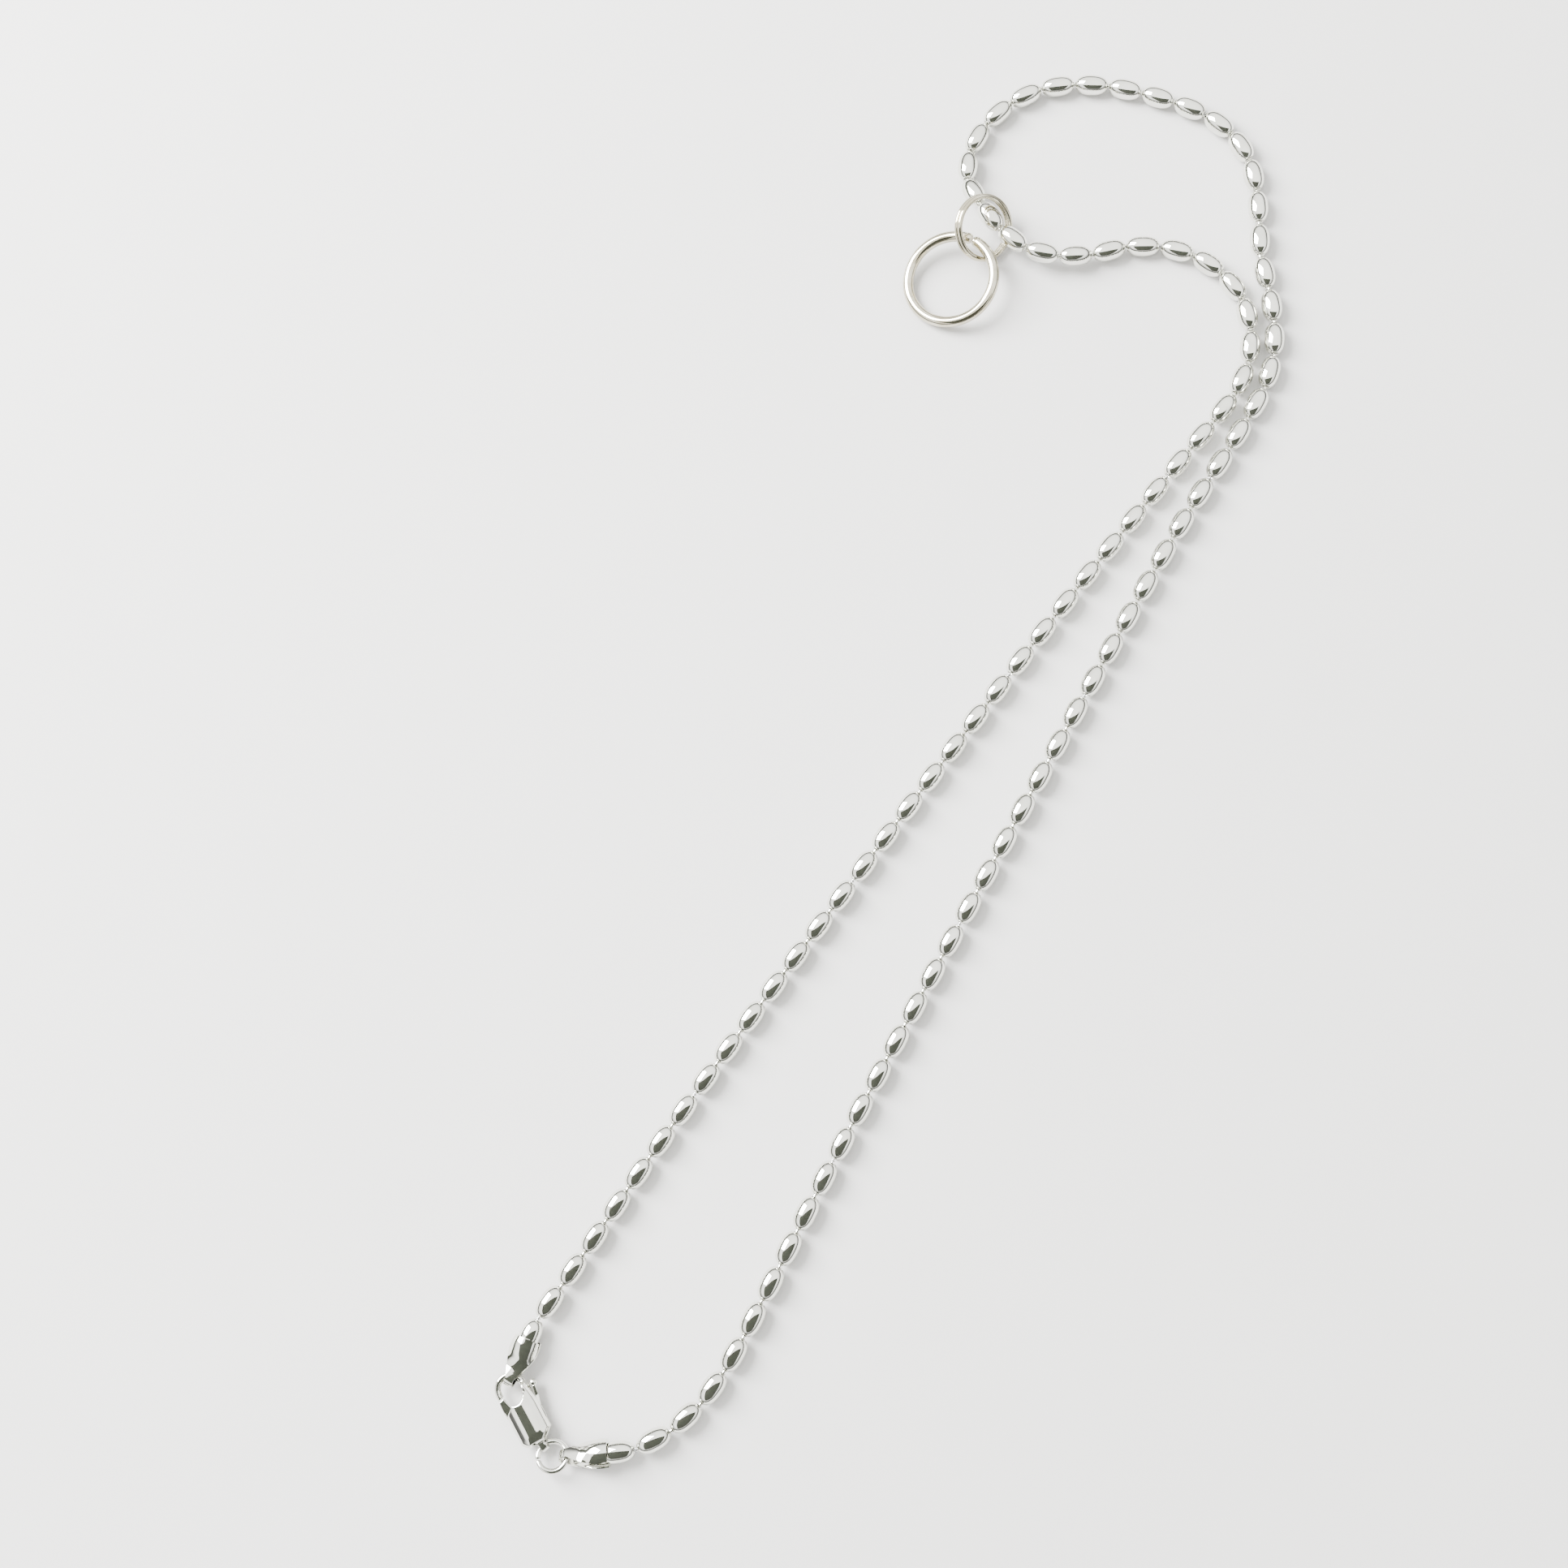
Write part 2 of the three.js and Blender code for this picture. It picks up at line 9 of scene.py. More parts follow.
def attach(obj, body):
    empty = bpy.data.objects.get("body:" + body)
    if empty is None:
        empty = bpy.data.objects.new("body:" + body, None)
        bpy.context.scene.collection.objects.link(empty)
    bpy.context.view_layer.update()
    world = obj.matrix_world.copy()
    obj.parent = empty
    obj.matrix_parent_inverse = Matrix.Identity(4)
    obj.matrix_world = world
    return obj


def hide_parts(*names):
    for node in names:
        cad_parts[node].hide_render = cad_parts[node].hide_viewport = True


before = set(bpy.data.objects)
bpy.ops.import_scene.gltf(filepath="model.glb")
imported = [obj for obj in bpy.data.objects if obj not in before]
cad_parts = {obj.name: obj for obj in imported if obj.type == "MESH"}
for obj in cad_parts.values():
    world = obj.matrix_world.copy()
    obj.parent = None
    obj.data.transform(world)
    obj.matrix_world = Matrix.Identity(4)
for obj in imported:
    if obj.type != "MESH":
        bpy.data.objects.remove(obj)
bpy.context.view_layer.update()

# ---------------------------------------------------------------- driving dimensions (metres)

BEAD_RADIUS = 0.0014
BEAD_HALF_LENGTH = 0.0022
BEAD_WALL = 0.00022
BEAD_HOLE_RADIUS = 0.00042
BEAD_RIM = 0.00004  # how far the hole's edge is cut back
BEAD_COUNT = 97
LOOSE_FIRST = 34
LOOSE_LAST = 56
LOOSE_SLACK = 0.00017

PIN_WIRE_RADIUS = 0.00022
FOLD_WIRE_RADIUS = 0.00014
PIN_HEAD_RADIUS = 0.00041
PIN_HEAD_DEPTH = 0.00078
COLLAR_RADIUS = 0.00036

CAP_LENGTH = 0.0065
CAP_STRIP = 0.00024
CAP_EYE_RADIUS = 0.00095
CAP_HEIGHT = 0.00175  # of the end caps' axis

JUMP_RADIUS = 0.00189
JUMP_WIRE = 0.00036
SPLIT_RADIUS = 0.0043
SPLIT_WIRE = 0.00034
SPLIT_RISE = 0.00078
TEMPLE_RADIUS = 0.0062
TEMPLE_WIRE = 0.00076

LIE = BEAD_RADIUS  # height of the chain's middle line where it lies flat

# The middle line of the chain, the same route as the CAD model's.
ROUTE = [
    (-0.0241, -0.0908, CAP_HEIGHT),
    (-0.0237, -0.0863, CAP_HEIGHT),
    (-0.022, -0.08, 0.0015),
    (-0.0172, -0.0616, LIE),
    (-0.0088, -0.0331, LIE),
    (0.0093, 0.024, LIE),
    (0.0192, 0.0522, LIE),
    (0.0226, 0.0615, LIE),
    (0.0232, 0.0665, LIE),
    (0.022, 0.0715, LIE),
    (0.0197, 0.0755, LIE),
    (0.016, 0.0784, LIE),
    (0.0094, 0.0802, LIE),
    (0.002, 0.0787, LIE),
    (-0.0021, 0.076, 0.0016),
    (-0.006, 0.074, 0.0027),
    (-0.0104, 0.0734, 0.0031),
    (-0.0149, 0.0749, 0.003),
    (-0.0191, 0.078, 0.003),
    (-0.0226, 0.0814, 0.00195),
    (-0.0239, 0.0862, LIE),
    (-0.0225, 0.0924, LIE),
    (-0.0178, 0.0981, LIE),
    (-0.0103, 0.1011, LIE),
    (-0.0013, 0.1017, LIE),
    (0.0072, 0.1007, LIE),
    (0.013, 0.0973, LIE),
    (0.0167, 0.0914, LIE),
    (0.02, 0.0822, LIE),
    (0.0238, 0.0756, LIE),
    (0.0264, 0.0669, LIE),
    (0.0253, 0.0584, LIE),
    (0.0218, 0.0434, LIE),
    (0.0182, 0.0238, LIE),
    (0.0062, -0.0498, LIE),
    (0.0029, -0.0743, LIE),
    (0.0013, -0.0842, LIE),
    (-0.0013, -0.0912, LIE),
    (-0.0061, -0.0968, CAP_HEIGHT),
    (-0.0102, -0.0989, CAP_HEIGHT),
]

# Each run of beads: its piece's name, the CAD node it replaces, its body, its first and last bead.
RUNS = [
    ("chain_hook_side_1", "beads_hook_side_1", "strands_1", 1, 7),
    ("chain_hook_side_2", "beads_hook_side_2", "strands_2", 8, 14),
    ("chain_hook_side_3", "beads_hook_side_3", "strands_3", 15, 21),
    ("chain_hook_side_4", "beads_hook_side_4", "strands_4", 22, 28),
    ("chain_loop_inner", "beads_loop_inner", "head_loop", 29, 37),
    ("chain_ring_loop", "beads_ring_loop", "ring_loop", 38, 53),
    ("chain_loop_outer", "beads_loop_outer", "head_loop", 54, 65),
    ("chain_ring_side_4", "beads_ring_side_4", "strands_4", 66, 72),
    ("chain_ring_side_3", "beads_ring_side_3", "strands_3", 73, 79),
    ("chain_ring_side_2", "beads_ring_side_2", "strands_2", 80, 86),
    ("chain_ring_side_1", "beads_ring_side_1", "strands_1", 87, 95),
]

# Each link pin that a fold turns on: its number and the body that carries it.
FOLD_PINS = [
    (1, "clasp_end"),
    (8, "strands_1"),
    (15, "strands_2"),
    (22, "strands_3"),
    (29, "strands_4"),
    (38, "head_loop"),
    (54, "head_loop"),
    (66, "strands_4"),
    (73, "strands_3"),
    (80, "strands_2"),
    (87, "strands_1"),
    (96, "clasp_end"),
]

UP = Vector((0, 0, 1))


# ---------------------------------------------------------------- camera

CAMERA_PLACE = Vector((0.0387, -0.0601, 0.290))
CAMERA_LENS = 50.85
CAMERA_SENSOR = 36
CAMERA_TIP = math.radians(13)
CAMERA_ROLL = math.radians(7)
TABLE_TURN = math.radians(20)


def make_camera():
    data = bpy.data.cameras.new("camera")
    data.lens = CAMERA_LENS
    data.sensor_width = CAMERA_SENSOR
    data.clip_start = 0.01
    data.clip_end = 10
    camera = bpy.data.objects.new("camera", data)
    bpy.context.scene.collection.objects.link(camera)
    turn = Matrix.Rotation(TABLE_TURN, 4, "Z")
    roll = Matrix.Rotation(CAMERA_ROLL, 4, "Y")
    tip = Matrix.Rotation(CAMERA_TIP, 4, "X")
    camera.matrix_world = Matrix.Translation(CAMERA_PLACE) @ turn @ roll @ tip
    bpy.context.scene.camera = camera


# ---------------------------------------------------------------- the chain's line


def smooth_line(points, steps=100):
    """A centripetal Catmull-Rom curve through the points, as many closely spaced points."""
    points = np.array(points)
    padded = np.vstack([2 * points[0] - points[1], points, 2 * points[-1] - points[-2]])
    gaps = np.sqrt(np.linalg.norm(np.diff(padded, axis=0), axis=1))
    share = (np.arange(steps) / steps)[:, None]
    line = []
    for i in range(1, len(padded) - 2):
        before, start, end, after = padded[i - 1 : i + 3]
        gap_0, gap_1, gap_2 = gaps[i - 1 : i + 2]
        leave = (start - before) / gap_0 - (end - before) / (gap_0 + gap_1) + (end - start) / gap_1
        arrive = (end - start) / gap_1 - (after - start) / (gap_1 + gap_2) + (after - end) / gap_2
        leave, arrive = leave * gap_1, arrive * gap_1
        square = -3 * start + 3 * end - 2 * leave - arrive
        cube = 2 * start - 2 * end + leave + arrive
        line.append(start + leave * share + square * share**2 + cube * share**3)
    return np.vstack(line + [points[-1:]])


def link_points():
    """The middle of each link: bead k lies between links k and k + 1."""
    line = smooth_line(ROUTE)
    along = np.concatenate([[0], np.cumsum(np.linalg.norm(np.diff(line, axis=0), axis=1))])
    loose = LOOSE_LAST - LOOSE_FIRST + 1
    pitch = (along[-1] + loose * LOOSE_SLACK) / BEAD_COUNT
    places = [0.0]
    for k in range(BEAD_COUNT):
        is_loose = LOOSE_FIRST <= k <= LOOSE_LAST
        places.append(places[-1] + (pitch - LOOSE_SLACK if is_loose else pitch))
    return [Vector([np.interp(s, along, line[:, i]) for i in range(3)]) for s in places]


LINKS = link_points()


def bead_middle(k):
    return (LINKS[k] + LINKS[k + 1]) / 2


def bead_direction(k):
    return (LINKS[k + 1] - LINKS[k]).normalized()


# ---------------------------------------------------------------- mesh helpers


def new_piece(name, bm, body, material, node, smooth_degrees=40):
    """Makes an object of a bmesh, shades it smooth but for its sharp edges, and ties it to the frame."""
    bmesh.ops.recalc_face_normals(bm, faces=bm.faces)
    mesh = bpy.data.meshes.new(name)
    bm.to_mesh(mesh)
    bm.free()
    mesh.shade_smooth()
    mesh.set_sharp_from_angle(angle=math.radians(smooth_degrees))
    mesh.materials.append(material)
    piece = bpy.data.objects.new(name, mesh)
    bpy.context.scene.collection.objects.link(piece)
    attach(piece, body)
    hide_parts(node)
    return piece


def frame_along(direction):
    """Two directions square to the given one: a level one, and the one above it."""
    side = UP.cross(direction)
    if side.length < 1e-6:
        side = Vector((1, 0, 0))
    side.normalize()
    return side, direction.cross(side).normalized()


def add_turned(bm, profile, place, direction, sides):
    """Turns a closed profile of (along, radius) points about a line; a radius of 0 is a pole."""
    side, above = frame_along(direction)
    rings = []
    for along, radius in profile:
        centre = place + direction * along
        if radius < 1e-9:
            rings.append([bm.verts.new(centre)])
            continue
        ring = []
        for i in range(sides):
            angle = 2 * math.pi * i / sides
            ring.append(bm.verts.new(centre + radius * (math.cos(angle) * side + math.sin(angle) * above)))
        rings.append(ring)
    return rings


def skin_rings(bm, rings, closed):
    """Joins a row of rings with faces; a ring of one vertex is a pole."""
    pairs = list(zip(rings, rings[1:]))
    if closed:
        pairs.append((rings[-1], rings[0]))
    for first, second in pairs:
        count = max(len(first), len(second))
        for i in range(count):
            j = (i + 1) % count
            lower = [first[i % len(first)], first[j % len(first)]]
            upper = [second[j % len(second)], second[i % len(second)]]
            bm.faces.new(dict.fromkeys(lower + upper))


# ---------------------------------------------------------------- beads and pins

BEAD_SIDES = 28
BEAD_STEPS = 16
BEAD_CURVE = 0.0024007  # half the length at which the bead's outline would close to a point
BEAD_FULLNESS = 2.5  # 2 would be an ellipse; more makes the shoulders fuller

# The hollow inside a bead, as points of (along, radius).
BEAD_HOLLOW = [
    (0.00195, 0.0006),
    (0.0012, 0.00102),
    (0.0, 0.00115),
    (-0.0012, 0.00102),
    (-0.00195, 0.0006),
]

# A pin's collar: each point's distance from the bead's end face, and its radius.
PIN_COLLAR = [
    (0.00002, PIN_WIRE_RADIUS),
    (0.00003, COLLAR_RADIUS - 0.00004),
    (0.00007, COLLAR_RADIUS),
    (0.00012, COLLAR_RADIUS - 0.00003),
    (0.00015, PIN_WIRE_RADIUS),
]

# Half of a fold pin's one collar: each point's distance from the pin's middle, and its radius.
FOLD_COLLAR = [(0.0001, FOLD_WIRE_RADIUS), (0.00007, 0.00027), (0.00003, 0.0003)]


def bead_profile():
    """A hollow bead: its outside from one hole to the other, then its inside back."""
    outside = []
    for i in range(BEAD_STEPS + 1):
        along = -BEAD_HALF_LENGTH * math.cos(math.pi * i / BEAD_STEPS)
        narrowing = abs(along / BEAD_CURVE) ** BEAD_FULLNESS
        outside.append((along, BEAD_RADIUS * math.sqrt(1 - narrowing)))
    left = [
        (-BEAD_HALF_LENGTH, BEAD_HOLE_RADIUS + BEAD_RIM),
        (-BEAD_HALF_LENGTH + BEAD_RIM, BEAD_HOLE_RADIUS),
        (-BEAD_HALF_LENGTH + BEAD_WALL, BEAD_HOLE_RADIUS),
    ]
    right = [(-along, radius) for along, radius in left]
    return outside + right + BEAD_HOLLOW + left[::-1]


def head_profile(reach, wire_radius):
    """The round head of a pin, from its pole to where its wire begins."""
    return [
        (reach + PIN_HEAD_RADIUS, 0.0),
        (reach + 0.7 * PIN_HEAD_RADIUS, 0.7 * PIN_HEAD_RADIUS),
        (reach, PIN_HEAD_RADIUS),
        (reach - 0.7 * PIN_HEAD_RADIUS, 0.7 * PIN_HEAD_RADIUS),
        (reach - 0.95 * PIN_HEAD_RADIUS, wire_radius),
    ]


def mirrored(half):
    return half + [(-along, radius) for along, radius in reversed(half)]


def pin_profile(reach):
    """A headed pin, from the middle of one head to the middle of the other, with a collar at each bead."""
    gap = reach - PIN_HEAD_DEPTH
    collar = [(gap - inward, radius) for inward, radius in PIN_COLLAR]
    return mirrored(head_profile(reach, PIN_WIRE_RADIUS) + collar)


def fold_pin_profile(reach):
    """A headed pin with a thinner wire and one middle collar, which leave the beads room to turn."""
    return mirrored(head_profile(reach, FOLD_WIRE_RADIUS) + FOLD_COLLAR)


def add_bead(bm, k):
    rings = add_turned(bm, bead_profile(), bead_middle(k), bead_direction(k), BEAD_SIDES)
    skin_rings(bm, rings, closed=True)


def add_pin(bm, k, profile):
    reach = (LINKS[k] - bead_middle(k)).length - BEAD_HALF_LENGTH + PIN_HEAD_DEPTH
    across = (bead_direction(k - 1) + bead_direction(k)).normalized()
    rings = add_turned(bm, profile(reach), LINKS[k], across, 12)
    skin_rings(bm, rings, closed=False)


def make_run(name, node, body, first, last, material):
    bm = bmesh.new()
    for k in range(first, last + 1):
        add_bead(bm, k)
        if k > first:
            add_pin(bm, k, pin_profile)
    piece = new_piece(name, bm, body, material, node, smooth_degrees=50)


def make_fold_pin(k, body, material):
    bm = bmesh.new()
    add_pin(bm, k, fold_pin_profile)
    new_piece(f"fold_pin_{k}", bm, body, material, f"link_pin_{k}")


def make_chain(silver, steel):
    for name, node, body, first, last in RUNS:
        make_run(name, node, body, first, last, silver)
    for k, body in FOLD_PINS:
        make_fold_pin(k, body, steel)
    for name, node, k in (
        ("last_bead_hook_side", "end_bead_hook_side", 0),
        ("last_bead_ring_side", "end_bead_ring_side", BEAD_COUNT - 1),
    ):
        bm = bmesh.new()
        add_bead(bm, k)
        new_piece(name, bm, "clasp_end", silver, node, smooth_degrees=50)


# ---------------------------------------------------------------- end caps

# The upper leaf of an end cap, from its mouth to its fold: distance along the cap, height of the
# strip's middle, width of the strip, and radius of the trough that it is pressed into.
CAP_LEAF = [
    (0.0, 0.00166, 0.0032, 0.0017),
    (0.0011, 0.00168, 0.0035, 0.00184),
    (0.0021, 0.00146, 0.0035, 0.0019),
    (0.0030, 0.00108, 0.0030, 0.0022),
    (0.0038, 0.00086, 0.0024, 0.0028),
    (0.0047, 0.00088, 0.0017, 0.0040),
]
CAP_EYE_CENTRE = CAP_LENGTH - CAP_EYE_RADIUS - CAP_STRIP / 2
CAP_FOLD_WIDTH = 0.00115
CAP_FOLD_STEPS = 24
CAP_FOLD_TROUGH = 0.008  # nearly flat
CAP_SHARES = [i / 7 for i in range(-7, 8)]
HOOK_SIDE_EYE = Vector((-0.0242, -0.0941, CAP_HEIGHT))
RING_SIDE_EYE = Vector((-0.01383, -0.10053, CAP_HEIGHT))
RING_SIDE_ROLL = 36


def cap_stations():
    """The strip's stations, along the upper leaf, round the fold, and back along the lower leaf."""
    leaf = smooth_line(CAP_LEAF, steps=6)
    fold = []
    for i in range(CAP_FOLD_STEPS + 1):
        angle = math.pi / 2 - math.pi * i / CAP_FOLD_STEPS
        along = CAP_EYE_CENTRE + CAP_EYE_RADIUS * math.cos(angle)
        fold.append((along, CAP_EYE_RADIUS * math.sin(angle), CAP_FOLD_WIDTH, CAP_FOLD_TROUGH))
    lower = leaf[::-1] * np.array([1, -1, 1, 1])
    return np.vstack([leaf, fold, lower])


def strip_outline(stations, i):
    """The outline of the strip at one station, as points of the cap's own frame."""
    before = stations[max(i - 1, 0)]
    after = stations[min(i + 1, len(stations) - 1)]
    along, height, width, trough = stations[i]
    run = Vector((after[0] - before[0], after[1] - before[1])).normalized()
    outward = Vector((-run.y, run.x))

    def face(share, offset):
        y = share * width / 2
        lean = math.asin(y / trough)
        drop = trough * (1 - math.cos(lean))
        depth = offset * math.cos(lean) - drop
        return Vector((along + outward.x * depth, y + offset * math.sin(lean), height + outward.y * depth))

    half = CAP_STRIP / 2
    edge = 0.975  # the middle of each edge stands out a little, so that it is rounded
    inner = [face(share * edge, -half) for share in CAP_SHARES]
    outer = [face(share * edge, half) for share in reversed(CAP_SHARES)]
    return inner + [face(1.0, 0)] + outer + [face(-1.0, 0)]


def cap_place(eye, mouth, roll_degrees):
    length = (eye - mouth).normalized()
    across = UP.cross(length).normalized()
    height = length.cross(across)
    turn = Matrix((length, across, height)).transposed().to_4x4()
    roll = Matrix.Rotation(math.radians(roll_degrees), 4, "X")
    return Matrix.Translation(eye - CAP_EYE_CENTRE * length) @ turn @ roll


def make_cap(name, node, eye, mouth, roll_degrees, material):
    place = cap_place(eye, mouth, roll_degrees)
    stations = cap_stations()
    bm = bmesh.new()
    rings = []
    for i in range(len(stations)):
        rings.append([bm.verts.new(place @ point) for point in strip_outline(stations, i)])
    skin_rings(bm, rings, closed=False)
    bm.faces.new(rings[0])
    bm.faces.new(rings[-1])
    new_piece(name, bm, "clasp_end", material, node, smooth_degrees=50)


def make_caps(silver):
    make_cap(
        "folded_cap_hook_side", "end_cap_hook_side",
        HOOK_SIDE_EYE, bead_middle(0), 0, silver,
    )
    make_cap(
        "folded_cap_ring_side", "end_cap_ring_side",
        RING_SIDE_EYE, bead_middle(BEAD_COUNT - 1), RING_SIDE_ROLL, silver,
    )


# ---------------------------------------------------------------- clasp

# The clasp's own frame is the CAD clasp's: X across it, Y from its tail to its hook, Z up.
CLASP_TURN = Matrix.Rotation(math.radians(50), 4, "Z")
CLASP_PLACE = Matrix.Translation((-0.02519, -0.0936, 0.00165)) @ CLASP_TURN
CLASP_MIDDLE = -0.0002  # X of the body's middle
CLASP_HALF_WIDTH = 0.00225
CLASP_SHOULDER = -0.003  # Y where the body begins
CLASP_CROWN = 0.48  # share of its height that the body loses at its sides
CLASP_CROWN_RAMP = 0.0015  # length over which the crown sets in


def crown_clasp(bm):
    """Rounds the flat top and underside across the clasp's body, as polishing leaves them."""
    inverse = CLASP_PLACE.inverted()
    for vert in bm.verts:
        spot = inverse @ vert.co
        share = min(max((CLASP_SHOULDER - spot.y) / CLASP_CROWN_RAMP, 0), 1)
        aside = (spot.x - CLASP_MIDDLE) / CLASP_HALF_WIDTH
        spot.z *= 1 - CLASP_CROWN * share * aside**2
        vert.co = CLASP_PLACE @ spot


def make_cast_piece(name, node, body, grain, passes, material):
    """A cast copy of a CAD piece with softly rounded edges; it is remeshed in millimetres, as is grain."""
    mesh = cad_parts[node].data.copy()
    mesh.transform(Matrix.Scale(1000, 4))
    rough = bpy.data.objects.new(f"{name}_rough", mesh)
    bpy.context.scene.collection.objects.link(rough)
    remesh = rough.modifiers.new("remesh", "REMESH")
    remesh.mode = "VOXEL"
    remesh.voxel_size = grain
    smooth = rough.modifiers.new("smooth", "SMOOTH")
    smooth.factor = 0.5
    smooth.iterations = passes
    bpy.context.view_layer.update()
    shaped = rough.evaluated_get(bpy.context.evaluated_depsgraph_get())
    bm = bmesh.new()
    bm.from_mesh(shaped.to_mesh())
    bmesh.ops.scale(bm, vec=(0.001, 0.001, 0.001), verts=bm.verts)
    shaped.to_mesh_clear()
    bpy.data.objects.remove(rough)
    crown_clasp(bm)
    new_piece(name, bm, body, material, node, smooth_degrees=180)


def make_clasp(silver, steel):
    make_cast_piece("clasp_cast_body", "clasp_body", "clasp", 0.08, 16, silver)
    make_cast_piece("clasp_cast_trigger", "clasp_trigger", "trigger", 0.06, 8, silver)
    for node in ("clasp_pivot_pin", "clasp_spring"):
        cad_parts[node].material_slots[0].material = steel


# ---------------------------------------------------------------- rings

# Each ring's middle, its tilt, and the direction of its highest place, both in degrees.
JUMP_PLACE = ((-0.01566, -0.10114, 0.0017), 14, -72)
SPLIT_PLACE = ((-0.01766, 0.07447, 0.0039), 44.4, 163.5)
TEMPLE_PLACE = ((-0.01986, 0.06652, 0.00228), 13, 44)
WIRE_SIDES = 16
WIRE_END_SHARE = 0.8  # of the wire's radius, at its cut ends


def coil_points(radius, start_degrees, turn_degrees, rise, count):
    points = []
    for i in range(count + 1):
        share = i / count
        angle = math.radians(start_degrees + share * turn_degrees)
        height = rise * (share - 0.5) * turn_degrees / 360
        points.append(Vector((radius * math.cos(angle), radius * math.sin(angle), height)))
    return points


def ring_place(centre, tilt_degrees, high_degrees):
    """Lays a ring about Z at a point, tilted so that its highest place lies in the given direction."""
    turn = Matrix.Rotation(math.radians(high_degrees), 4, "Z")
    tilt = Matrix.Rotation(-math.radians(tilt_degrees), 4, "Y")
    return Matrix.Translation(centre) @ turn @ tilt


def add_wire(bm, points, wire_radius, place):
    """A round wire along the points, a little narrower at its cut ends."""
    rings = []
    last = len(points) - 1
    for i, point in enumerate(points):
        along = (points[min(i + 1, last)] - points[max(i - 1, 0)]).normalized()
        outward = Vector((point.x, point.y, 0)).normalized()
        above = along.cross(outward).normalized()
        radius = wire_radius * (WIRE_END_SHARE if i in (0, last) else 1.0)
        ring = []
        for j in range(WIRE_SIDES):
            angle = 2 * math.pi * j / WIRE_SIDES
            spot = point + radius * (math.cos(angle) * outward + math.sin(angle) * above)
            ring.append(bm.verts.new(place @ spot))
        rings.append(ring)
    for first, second in zip(rings, rings[1:]):
        for j in range(WIRE_SIDES):
            after = (j + 1) % WIRE_SIDES
            bm.faces.new((first[j], first[after], second[after], second[j]))
    bm.faces.new(rings[0])
    bm.faces.new(rings[-1])


def make_ring(name, node, body, points, wire_radius, place, material):
    bm = bmesh.new()
    add_wire(bm, points, wire_radius, place)
    new_piece(name, bm, body, material, node)


def make_rings(silver, warm):
    jump = ring_place(*JUMP_PLACE)
    make_ring(
        "jump_ring_wire", "jump_ring", "jump_ring",
        coil_points(JUMP_RADIUS, -70, 354, 0, 72), JUMP_WIRE, jump, silver,
    )
    split = ring_place(*SPLIT_PLACE)
    make_ring(
        "split_ring_coil", "split_ring", "split_ring",
        coil_points(SPLIT_RADIUS, 150, 715, SPLIT_RISE, 180), SPLIT_WIRE, split, warm,
    )
    temple = ring_place(*TEMPLE_PLACE)
    make_ring(
        "temple_ring_wire", "temple_ring", "temple_ring",
        coil_points(TEMPLE_RADIUS, 36, 356, 0, 120), TEMPLE_WIRE, temple, warm,
    )


# ---------------------------------------------------------------- materials

PAPER_SHADE = 0.985  # of a paper's colour, where it is darkest


def new_material(name):
    material = bpy.data.materials.new(name)
    material.use_nodes = True
    nodes = material.node_tree.nodes
    shader = nodes["Principled BSDF"]
    return material, nodes, material.node_tree.links, shader


def noise(nodes, links, scale, detail):
    spot = nodes.new("ShaderNodeTexCoord")
    texture = nodes.new("ShaderNodeTexNoise")
    texture.inputs["Scale"].default_value = scale
    texture.inputs["Detail"].default_value = detail
    links.new(spot.outputs["Object"], texture.inputs["Vector"])
    return texture.outputs["Fac"]


def ramp(nodes, links, value, stops):
    node = nodes.new("ShaderNodeValToRGB")
    elements = node.color_ramp.elements
    for element, (place, colour) in zip(elements, stops):
        element.position = place
        element.color = (*colour, 1)
    links.new(value, node.inputs["Fac"])
    return node.outputs["Color"]


def span(nodes, links, value, low, high):
    node = nodes.new("ShaderNodeMapRange")
    node.inputs["To Min"].default_value = low
    node.inputs["To Max"].default_value = high
    links.new(value, node.inputs["Value"])
    return node.outputs["Result"]


def metal(name, bright, dull, rough_low, rough_high, scratch):
    """Polished metal: a faint change of tone, smudges that spread its shine, and fine wear."""
    material, nodes, links, shader = new_material(name)
    shader.inputs["Metallic"].default_value = 1.0
    cloud = noise(nodes, links, scale=420, detail=3)
    tone = ramp(nodes, links, cloud, [(0.35, dull), (0.62, bright)])
    links.new(tone, shader.inputs["Base Color"])
    smudge = span(nodes, links, noise(nodes, links, scale=700, detail=4), rough_low, rough_high)
    links.new(smudge, shader.inputs["Roughness"])
    wear = nodes.new("ShaderNodeBump")
    wear.inputs["Strength"].default_value = scratch
    wear.inputs["Distance"].default_value = 0.00002
    links.new(noise(nodes, links, scale=5200, detail=3), wear.inputs["Height"])
    links.new(wear.outputs["Normal"], shader.inputs["Normal"])
    return material


def paper(name, colour):
    material, nodes, links, shader = new_material(name)
    darker = tuple(PAPER_SHADE * part for part in colour)
    cloud = noise(nodes, links, scale=60, detail=2)
    tone = ramp(nodes, links, cloud, [(0.3, darker), (0.7, colour)])
    links.new(tone, shader.inputs["Base Color"])
    shader.inputs["Roughness"].default_value = 0.7
    shader.inputs["Specular IOR Level"].default_value = 0.2
    return material


# ---------------------------------------------------------------- floor and light

FLOOR_COLOUR = (0.50, 0.495, 0.487)
FLOOR_REACH = 1.5
FLOOR_DROP = 0.00006  # keeps the floor clear of the undersides that lie at zero
BACKDROP_COLOUR = (0.92, 0.915, 0.90)
BACKDROP_RADIUS = 1.45
BACKDROP_HEIGHT = 2.4
BACKDROP_FOOT = 0.01  # how far it reaches under the floor
CARD_COLOUR = (0.045, 0.05, 0.04)

# The room's brightness, from a level look at 0 to straight up at 1, and its tint.
SKY_STOPS = [(0.0, 0.02), (0.2, 0.09), (0.45, 0.85), (1.0, 1.0)]
SKY_BLUE_SHARE = 0.975
SKY_STRENGTH = 3.3


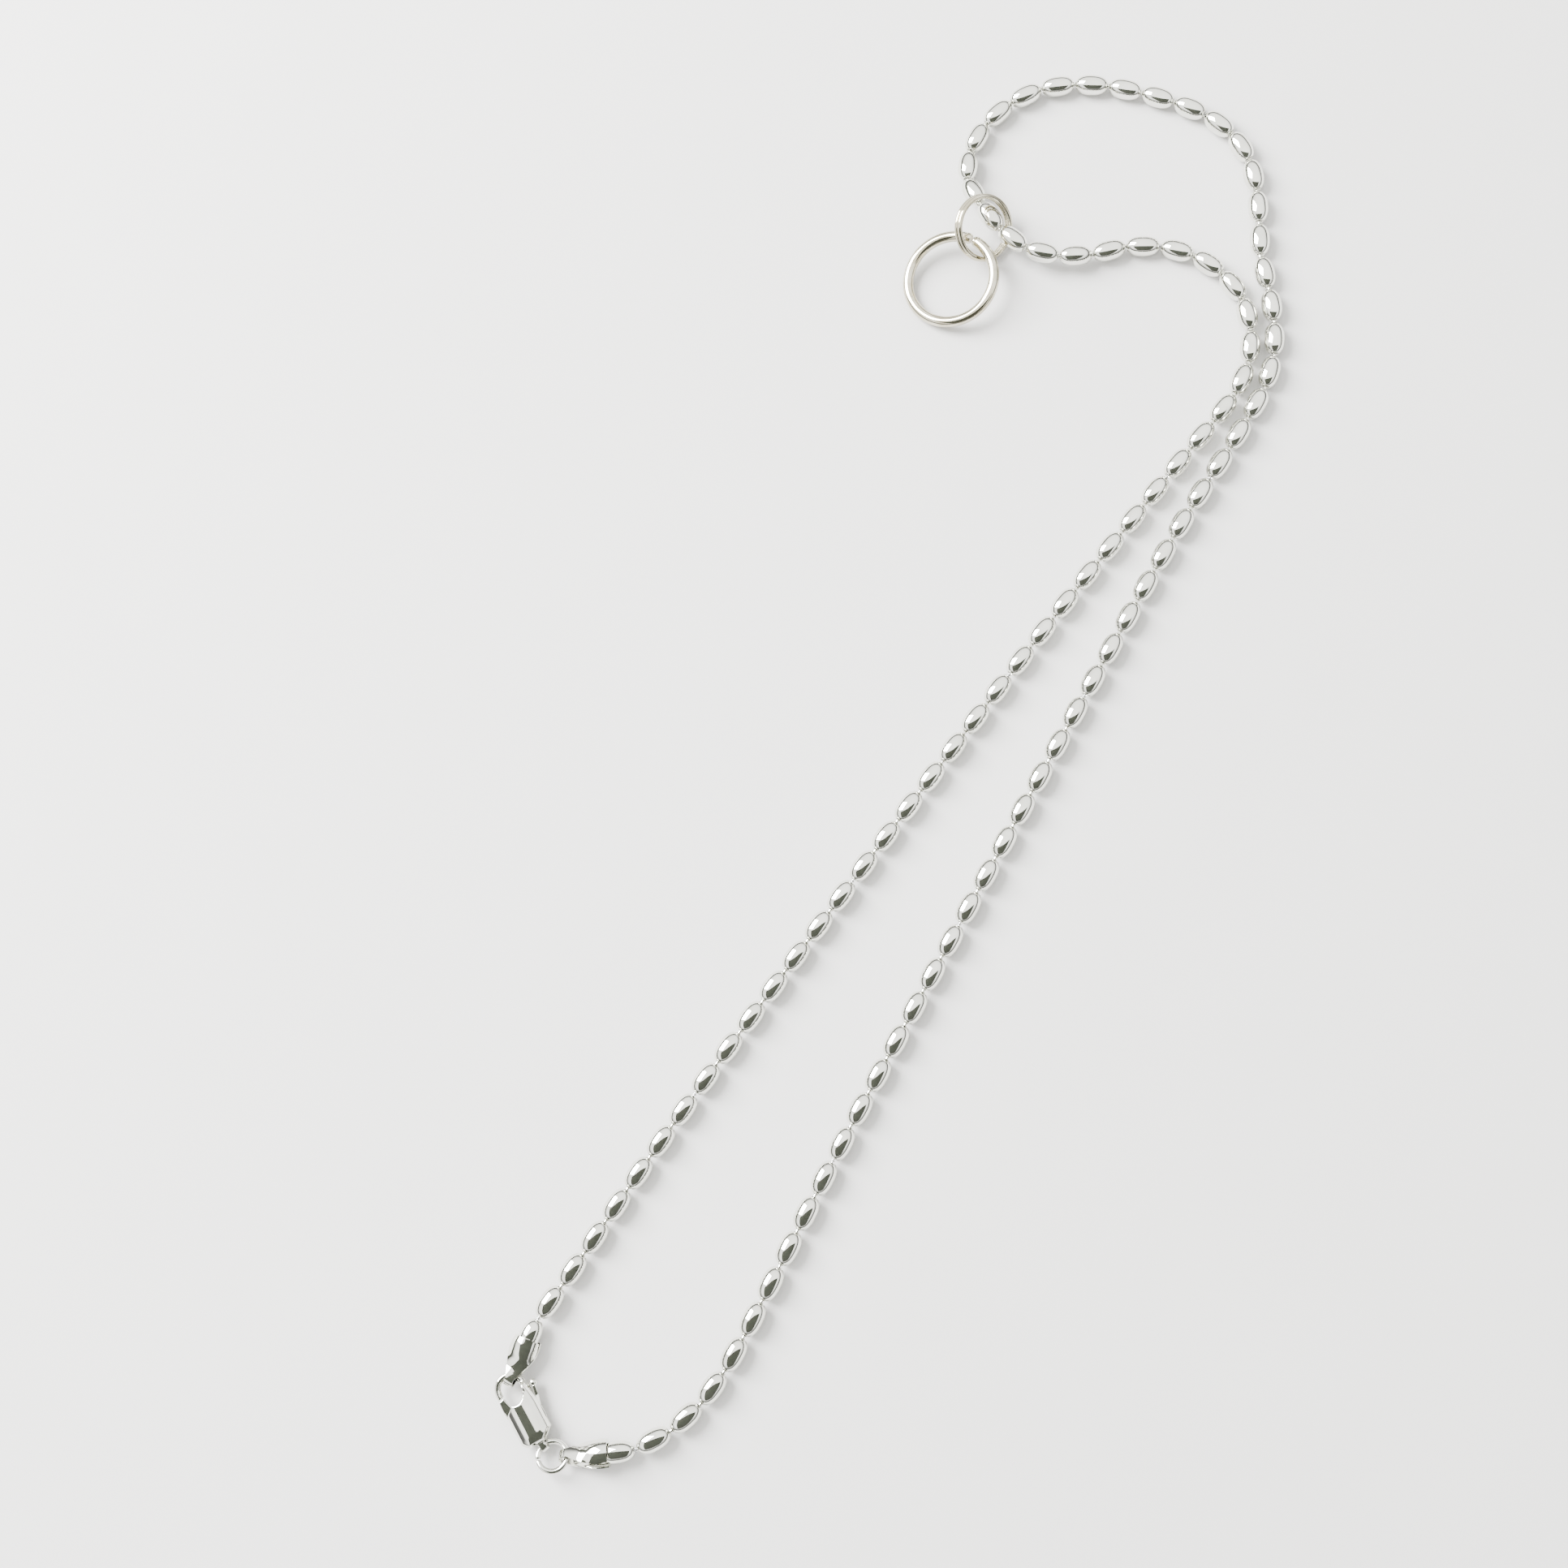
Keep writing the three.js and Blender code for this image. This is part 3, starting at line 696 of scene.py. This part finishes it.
def stage_object(name, bm, material):
    mesh = bpy.data.meshes.new(name)
    bm.to_mesh(mesh)
    bm.free()
    mesh.materials.append(material)
    piece = bpy.data.objects.new(name, mesh)
    bpy.context.scene.collection.objects.link(piece)
    return piece


def make_floor():
    bm = bmesh.new()
    bmesh.ops.create_grid(bm, x_segments=1, y_segments=1, size=FLOOR_REACH)
    floor = stage_object("floor", bm, paper("floor_paper", FLOOR_COLOUR))
    floor.location.z = -FLOOR_DROP


def hide_from_light(piece):
    """Keeps a piece of the stage from changing the light that falls on the object."""
    piece.visible_diffuse = False
    piece.visible_shadow = False


def make_backdrop():
    """A pale round wall near the floor's edge, for the low views; the metal doesn't reflect it."""
    bm = bmesh.new()
    bmesh.ops.create_cone(
        bm,
        segments=96,
        radius1=BACKDROP_RADIUS,
        radius2=BACKDROP_RADIUS,
        depth=BACKDROP_HEIGHT,
    )
    backdrop = stage_object("backdrop", bm, paper("backdrop_paper", BACKDROP_COLOUR))
    backdrop.data.shade_smooth()
    backdrop.location.z = BACKDROP_HEIGHT / 2 - BACKDROP_FOOT
    backdrop.visible_glossy = False
    hide_from_light(backdrop)


def add_area_light(name, place, target, size, power):
    data = bpy.data.lights.new(name, "AREA")
    data.shape = "RECTANGLE"
    data.size, data.size_y = size
    data.energy = power
    light = bpy.data.objects.new(name, data)
    light.location = place
    aim = Vector(target) - Vector(place)
    light.rotation_euler = aim.to_track_quat("-Z", "Y").to_euler()
    bpy.context.scene.collection.objects.link(light)


def make_sky():
    """A room of one faintly warm white, bright overhead and dark towards the level."""
    world = bpy.data.worlds.new("world")
    world.use_nodes = True
    nodes, links = world.node_tree.nodes, world.node_tree.links
    place = nodes.new("ShaderNodeTexCoord")
    split = nodes.new("ShaderNodeSeparateXYZ")
    links.new(place.outputs["Generated"], split.inputs["Vector"])
    tone = nodes.new("ShaderNodeValToRGB")
    elements = tone.color_ramp.elements
    while len(elements) < len(SKY_STOPS):
        elements.new(0.5)
    for element, (height, level) in zip(elements, SKY_STOPS):
        element.position = height
        element.color = (level, level, SKY_BLUE_SHARE * level, 1)
    links.new(split.outputs["Z"], tone.inputs["Fac"])
    background = nodes["Background"]
    links.new(tone.outputs["Color"], background.inputs["Color"])
    background.inputs["Strength"].default_value = SKY_STRENGTH
    bpy.context.scene.world = world


def add_dark_card(name, size, place, turn):
    """A dark part of the room, seen only as a reflection in the metal."""
    bm = bmesh.new()
    bmesh.ops.create_grid(bm, x_segments=1, y_segments=1, size=0.5)
    card = stage_object(name, bm, paper(f"{name}_grey", CARD_COLOUR))
    card.scale = (*size, 1)
    card.location = place
    card.rotation_euler = turn
    card.visible_camera = False
    hide_from_light(card)


def make_light():
    make_sky()
    add_dark_card(
        "dark_ceiling",
        size=(0.66, 0.80),
        place=(0.225, -0.405, 0.30),
        turn=(0, 0, TABLE_TURN),
    )
    add_dark_card(
        "dark_wall",
        size=(0.24, 1.5),
        place=(-0.90, 0.12, 0.12),
        turn=(0, math.radians(90), 0),
    )
    add_area_light(
        "window",
        place=(-0.60, 0.10, 0.55),
        target=(0, 0, 0),
        size=(0.42, 0.6),
        power=50.0,
    )


# ---------------------------------------------------------------- build

make_camera()
silver = metal("polished_silver", (0.82, 0.82, 0.765), (0.74, 0.74, 0.68), 0.02, 0.07, 0.04)
warm = metal("ring_silver", (0.66, 0.62, 0.50), (0.46, 0.42, 0.31), 0.05, 0.15, 0.1)
steel = metal("inner_steel", (0.7, 0.7, 0.69), (0.55, 0.55, 0.54), 0.25, 0.4, 0.2)
make_chain(silver, steel)
make_rings(silver, warm)
make_caps(silver)
make_clasp(silver, steel)
make_floor()
make_backdrop()
make_light()
